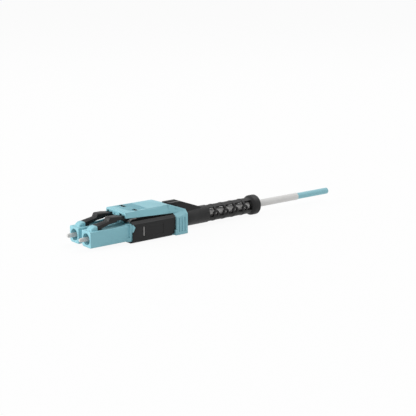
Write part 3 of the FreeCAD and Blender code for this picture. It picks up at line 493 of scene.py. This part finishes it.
def metal(name, colour, rough=0.32):
    """Turned, plated metal: fine rings that follow the tool, as a wave of the distance along X, and
    a cloud of slightly darker, smoother patches."""
    material, tree = empty_material(name)
    ring_height = 0.004
    place = add(tree, "TexCoord").outputs["Object"]
    rings = add(tree, "TexWave", {"Vector": place, "Scale": 2600.0, "Distortion": 0.6, "Detail": 2.0},
                wave_type="BANDS", bands_direction="X")
    bump = add(tree, "Bump", {"Height": rings.outputs["Fac"], "Strength": 0.2,
                              "Distance": ring_height * mm})
    cloud = add(tree, "TexNoise", {"Vector": place, "Scale": 700.0, "Detail": 2.0})
    patches = add(tree, "MapRange", {"Value": cloud.outputs["Fac"], "To Min": rough - 0.06,
                                     "To Max": rough + 0.08})
    darker = [0.9 * value for value in colour]
    tint = add(tree, "Mix", {0: cloud.outputs["Fac"], 6: (*darker, 1), 7: (*colour, 1)}, data_type="RGBA")
    shader = add(tree, "BsdfPrincipled", {
        "Base Color": tint.outputs[2], "Metallic": 1.0, "Roughness": patches.outputs[0],
        "Normal": bump.outputs["Normal"]})
    add(tree, "OutputMaterial", {"Surface": shader.outputs[0]})
    return material


plated = metal("plated_metal", (0.56, 0.56, 0.55))
for side in "ab":
    pin_low, pin_high = (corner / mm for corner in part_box(f"ferrule_{side}"))
    pin_radius = (pin_high.z - pin_low.z) / 2
    pin = turned(f"ferrule_{side}_pin", [
        (pin_high.x, 0), (pin_high.x, pin_radius), (pin_low.x + tip_cone, pin_radius),
        (pin_low.x, tip_radius), (pin_low.x, 0)], ceramic, frame["nodes"][f"ferrule_{side}"]["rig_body"],
        centre=(0, (pin_low.y + pin_high.y) / 2, 0), radius=0.3, around=48)
    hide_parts(f"ferrule_{side}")
    rounded_copy(f"ferrule_holder_{side}", f"ferrule_{side}_barrel", plated, 0.04)

# ==================================================================== springs, stops and buffered fibres
# Inside each plug: a drawn steel coil behind the barrel's collar, the tube that closes the spring
# chamber, and the buffered fibre that runs on to the cable post.
wire = metal("spring_wire", (0.45, 0.45, 0.46), rough=0.28)
buffer_skin = plastic("buffer_skin", (0.72, 0.69, 0.6), gloss=0.35)


def finished(node, material):
    """Put a finish on a CAD node that is shown as it is."""
    slots = frame["nodes"][node].data.materials
    slots.clear()
    slots.append(material)


for side in "ab":
    finished(f"spring_stop_{side}", plated)
    finished(f"fibre_buffer_{side}", buffer_skin)
    source, mesh, work = merged_copy(f"ferrule_spring_{side}")
    work.to_mesh(mesh)
    work.free()
    mesh.shade_smooth()
    mesh.set_sharp_from_angle(angle=math.radians(50))
    coil = new_piece(f"ferrule_{side}_coil", mesh, wire)
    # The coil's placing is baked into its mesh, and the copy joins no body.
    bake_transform(coil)
    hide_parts(source.name)

# ==================================================================== latches
# Black moulded levers, one on each plug: root, rising arm, lug with rounded shoulders, and a tail
# that runs under the pull cover.
black_latch = plastic("black_latch", (0.012, 0.012, 0.0125), gloss=0.42, shine=0.28, Corner_lift=0.03)


def moved(piece, at, low, high, by):
    """Move the corners of a copy that lie at one x and between two heights by (dx, dz), in mm."""
    place = np.empty(3 * len(piece.data.vertices), dtype=np.float32)
    piece.data.vertices.foreach_get("co", place)
    x, _, z = place.reshape(-1, 3).T / mm
    chosen = np.isclose(x, at, rtol=0, atol=0.03) & (z > low) & (z < high)
    place.reshape(-1, 3)[chosen] += np.array((by[0], 0, by[1])) * mm
    piece.data.vertices.foreach_set("co", place)
    piece.data.update()


# The lug is a little deeper than the lever's bare form: the rows of corners on its underside, each
# given by its x and the heights that it lies between, are let down.
lug_underside = ((6.75, 3.0, 3.6, -0.1), (9.0, 3.6, 4.0, -0.22), (9.65, 3.9, 4.3, -0.2),
                 (11.15, 4.0, 4.3, -0.06))
for side in "ab":
    lever = rounded_copy(f"latch_{side}", f"latch_lever_{side}_shell", black_latch, 0.1)
    for at, low, high, drop in lug_underside:
        moved(lever, at, low, high, (0, drop))

# ==================================================================== holder and retainer
# The holder is a black moulded tray with a satin face, and on each side a bare field and a slot; the
# retainer is a thin pale frame pressed in over the plugs' tails, with a tab in each slot.
black_holder = plastic("black_holder", (0.011, 0.011, 0.0115), gloss=0.45, shine=0.28, depth=0.008,
                       Corner_lift=0.03)
rounded_copy("holder", "holder_tray", black_holder, 0.14)
pale_frame = plastic("pale_frame", (0.24, 0.235, 0.23), gloss=0.5)
retainer = rounded_copy("retainer", "retainer_frame", pale_frame, 0.04)
# The front face of each tab stands a little back in its slot.
tab_front, tab_half, tab_set_back = 16.65, 1.6, 0.2
moved(retainer, tab_front, -tab_half, tab_half, (tab_set_back, 0))


def of_faces(piece, what):
    """The x, y and z of one vector of every face of a piece: its center or its normal."""
    values = np.empty(3 * len(piece.data.polygons), dtype=np.float32)
    piece.data.polygons.foreach_get(what, values)
    return values.reshape(-1, 3).T


def second_finish(piece, material, chosen):
    """Show the chosen faces, an array with True for each of them, in another finish."""
    piece.data.materials.append(material)
    piece.data.polygons.foreach_set("material_index", chosen.astype(np.int32))


# Two rails on the tray close the sides under the pull cover's skirt: a sloped lip, and behind it a
# low wall whose faces are painted near-black, darker than the tray, as the shade under the skirt.
# Each is one outline carried along X, with its top set at three places.
rail_front, rail_rear, rail_foot = 13.1, 27.95, 2.55
rail_outside, rail_lip, rail_wall, rail_inside = 6.3, 5.71, 5.32, 5.2
lip_top, lip_fall, rail_top, rail_rear_top = 3.27, 0.04, 3.8, 3.5
rail_ramp, rail_front_drop = 0.7, 0.45
rail_tops = ((rail_front, rail_top - rail_front_drop), (rail_front + rail_ramp, rail_top),
             (rail_rear, rail_rear_top))
# Painted shade: a near-black finish for the wall faces above the lip, standing in for the skirt's shadow.
rail_shade = plastic("rail_shade", (0.004, 0.004, 0.004), gloss=0.7, shine=0.1, Corner_lift=0.0)
for side, sign in (("a", -1), ("b", 1)):
    rail = []
    for x, top in rail_tops:
        outline = [(rail_outside, rail_foot), (rail_lip, lip_top), (rail_wall, lip_top - lip_fall),
                   (rail_wall, top), (rail_inside, top), (rail_inside, rail_foot)]
        rail.append([(x, sign * y, z) for y, z in outline])
    rail_piece = surface_piece(f"holder_rail_{side}", np.array(rail) * mm, black_holder, "connector",
                               caps=True)
    _, y, z = of_faces(rail_piece, "center") / mm
    on_wall = np.isclose(np.abs(y), rail_wall, rtol=0, atol=0.01) & (z > lip_top)
    second_finish(rail_piece, rail_shade, on_wall)

# ==================================================================== pull cover
# Aqua hood over both latches, moulded in one with the ring behind it; ribs on the roof and upright
# grooves on the ring give the fingers a hold.
cover = rounded_copy("slide_cover", "pull_cover_shell", aqua_plastic, 0.1, angle=9)
# The slot in the ring that takes the boot's shoulder opens a little further forward and higher up.
slot_front, slot_low, slot_high, slot_shift = 29.75, 3.0, 6.0, (-0.85, 0.3)
moved(cover, slot_front, slot_low, slot_high, slot_shift)
# The two windows in the roof have painted shade on their walls: the upright faces round their
# # middles are shown in a dark aqua.
window_shade = plastic("window_shade", (0.03, 0.05, 0.056), gloss=0.6, shine=0.2)
window_set_back, window_off, window_foot = 4.43, 3.125, 4.9
window_half_length, window_half_width = 0.66, 1.3
x, y, z = of_faces(cover, "center") / mm
in_length = np.abs(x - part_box("slide_cover")[0].x / mm - window_set_back) < window_half_length
in_width = np.abs(np.abs(y) - window_off) < window_half_width
upright = np.abs(of_faces(cover, "normal")[2]) < 0.5
second_finish(cover, window_shade, in_length & in_width & (z > window_foot) & upright)

# ==================================================================== boot
# Soft black moulding that grips the ring, carries the ridged shoulder and opens into a cage round the
# sleeve: two spines joined by hoops, with round eyes at the sides, and a collar at the end.
boot_rubber = plastic("boot_rubber", (0.011, 0.011, 0.0115), gloss=0.5, shine=0.28, depth=0.006,
                      Corner_lift=0.03)
boot = rounded_copy("boot", "boot_moulding", boot_rubber, 0.12)
# The shoulder's front and its highest line go forward and up with the slot that takes it.
shoulder_front, shoulder_peak, shoulder_low, shoulder_high = 29.9, 34.3, 3.4, 6.0
moved(boot, shoulder_front, shoulder_low, shoulder_high, slot_shift)
moved(boot, shoulder_peak, shoulder_low, shoulder_high, slot_shift)
# The copy ends where the cage starts, and a ring of faces closes its cut wall.
cage_front = 43.88
work = bmesh.new()
work.from_mesh(boot.data)
cut = bmesh.ops.bisect_plane(work, geom=[*work.verts, *work.edges, *work.faces], dist=1e-7,
                             plane_co=(cage_front * mm, 0, 0), plane_no=(1, 0, 0), clear_outer=True)
rim = [part for part in cut["geom_cut"] if isinstance(part, bmesh.types.BMEdge)]
bmesh.ops.bridge_loops(work, edges=rim)
work.to_mesh(boot.data)
work.free()

boot_body = frame["nodes"]["boot"]["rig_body"]
cage_outer, cage_inner, cage_rear = 2.48, 1.95, 60.8
cage_front_lap, cage_rear_lap = 0.02, 0.3
top_spine, bottom_spine = 36, 68
bar_corner = 0.18
hoop_count, hoop_first, hoop_pitch, hoop_half, hoop_radius, hoop_angle = 4, 46.35, 3.79, 0.42, 2.58, 71
eye_radius, eye_hole, eye_root, eye_face = 1.18, 0.55, 2.05, 2.66


def arc_bar(name, x_from, x_to, radii, middle_angle, half_angle):
    """Bar bent round the X axis: an eased rectangle of x by radius carried from one angle to the
    other, with y the radius times the cosine and z the radius times the sine."""
    middle = (x_from + x_to) / 2
    outline = eased([(middle, radii[0]), (x_to, radii[0]), (x_to, radii[1]), (x_from, radii[1]),
                     (x_from, radii[0]), (middle, radii[0])], bar_corner)[:-1]
    angle = np.radians(np.linspace(middle_angle - half_angle, middle_angle + half_angle, 25))[:, None]
    x = np.repeat(outline[None, :, 0], len(angle), 0)
    points = np.stack([x, outline[:, 1] * np.cos(angle), outline[:, 1] * np.sin(angle)], -1)
    surface_piece(name, points * mm, boot_rubber, boot_body, caps=True)


for name, middle_angle, half_angle in (("top", 90, top_spine), ("bottom", 270, bottom_spine)):
    arc_bar(f"boot_spine_{name}", cage_front - cage_front_lap, cage_rear + cage_rear_lap,
            (cage_inner, cage_outer), middle_angle, half_angle)
for number in range(hoop_count):
    middle_x = hoop_first + number * hoop_pitch
    for name, middle_angle in (("top", 90), ("bottom", 270)):
        arc_bar(f"boot_hoop_{number + 1}_{name}", middle_x - hoop_half, middle_x + hoop_half,
                (cage_inner, hoop_radius), middle_angle, hoop_angle)
    for side, sign in (("a", -1), ("b", 1)):
        turned(f"boot_eye_{number + 1}{side}", [
            (sign * eye_root, eye_hole), (sign * eye_root, eye_radius), (sign * eye_face, eye_radius),
            (sign * eye_face, eye_hole)], boot_rubber, boot_body,
            centre=(middle_x, 0, 0), radius=0.2, around=32, closed=True, axis="y")
collar_slope, collar_end, collar_radius, collar_bore = 0.7, 64.1, 3.12, 1.17
turned("boot_collar", [
    (cage_rear, collar_bore), (cage_rear, cage_outer), (cage_rear + collar_slope, collar_radius),
    (collar_end, collar_radius), (collar_end, collar_bore)], boot_rubber, boot_body,
    radius=0.7, closed=True)

# ==================================================================== cable post and crimp ring
# Plated turned parts hidden in the grip ring and the boot's root: the post stands in the holder's
# rear wall, and the ring clamps the cable's yarn on its shank.
for node in ("cable_post", "crimp_ring"):
    finished(node, plated)
